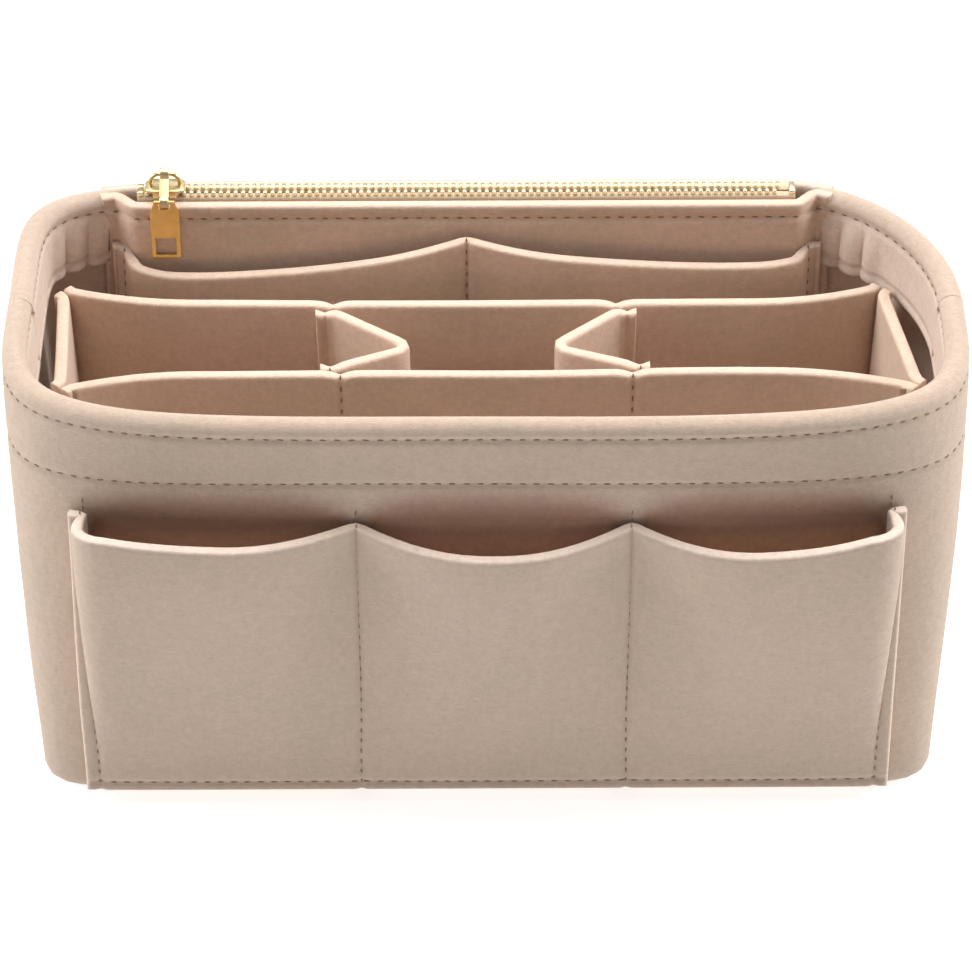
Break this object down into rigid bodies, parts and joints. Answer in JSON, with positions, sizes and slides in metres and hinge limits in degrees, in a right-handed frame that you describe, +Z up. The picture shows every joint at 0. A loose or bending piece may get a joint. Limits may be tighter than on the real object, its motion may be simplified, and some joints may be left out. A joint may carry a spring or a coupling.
{
  "type": "purse organizer insert",
  "caption": "Open felt box that stands inside a handbag and sorts its contents: outer pockets, an inner tray with folded dividers, slip pockets and a zipped pocket.",
  "frame": {"origin": "middle of the underside of the base", "axes": "+X along the length, +Y to the back with the zipped pocket, +Z up"},
  "size_m": [0.3016, 0.1505, 0.1602],
  "materials": {
    "felt": "matt pressed felt",
    "zip_tape": "woven tape",
    "zip_teeth": "pale gold plating",
    "zip_pull": "gold plating"
  },
  "bodies": {
    "organizer": {"front_wall": "felt", "back_wall": "felt", "base_panel": "felt", "front_pocket_panel": "felt", "zip_pocket_panel": "felt", "slip_pocket_panel": "felt", "tray_back_panel": "felt", "tray_front_panel": "felt", "tray_left_end": "felt", "tray_right_end": "felt", "left_gusset": "felt", "right_gusset": "felt", "zipper_tape_front": "zip_tape", "zipper_tape_rear": "zip_tape", "zipper_teeth_front": "zip_teeth", "zipper_teeth_rear": "zip_teeth", "zipper_top_stop_front": "zip_teeth", "zipper_top_stop_rear": "zip_teeth", "zipper_bottom_stop": "zip_teeth"},
    "slider": {"zipper_slider": "zip_teeth"},
    "link": {"pull_link": "zip_teeth"},
    "tab": {"pull_tab": "zip_pull"}
  },
  "joints": [
    {"name": "zip_slide", "type": "slide", "parent": "organizer", "child": "slider", "axis": [1, 0, 0], "range_m": [0, 0.1955]},
    {"name": "link_swing", "type": "hinge", "parent": "slider", "child": "link", "pos_m": [-0.1039, 0.0588, 0.15805], "axis": [-1, 0, 0], "range_deg": [0, 170]},
    {"name": "tab_swing", "type": "hinge", "parent": "link", "child": "tab", "pos_m": [-0.1039, 0.0504, 0.15255], "axis": [-1, 0, 0], "range_deg": [0, 160]}
  ]
}
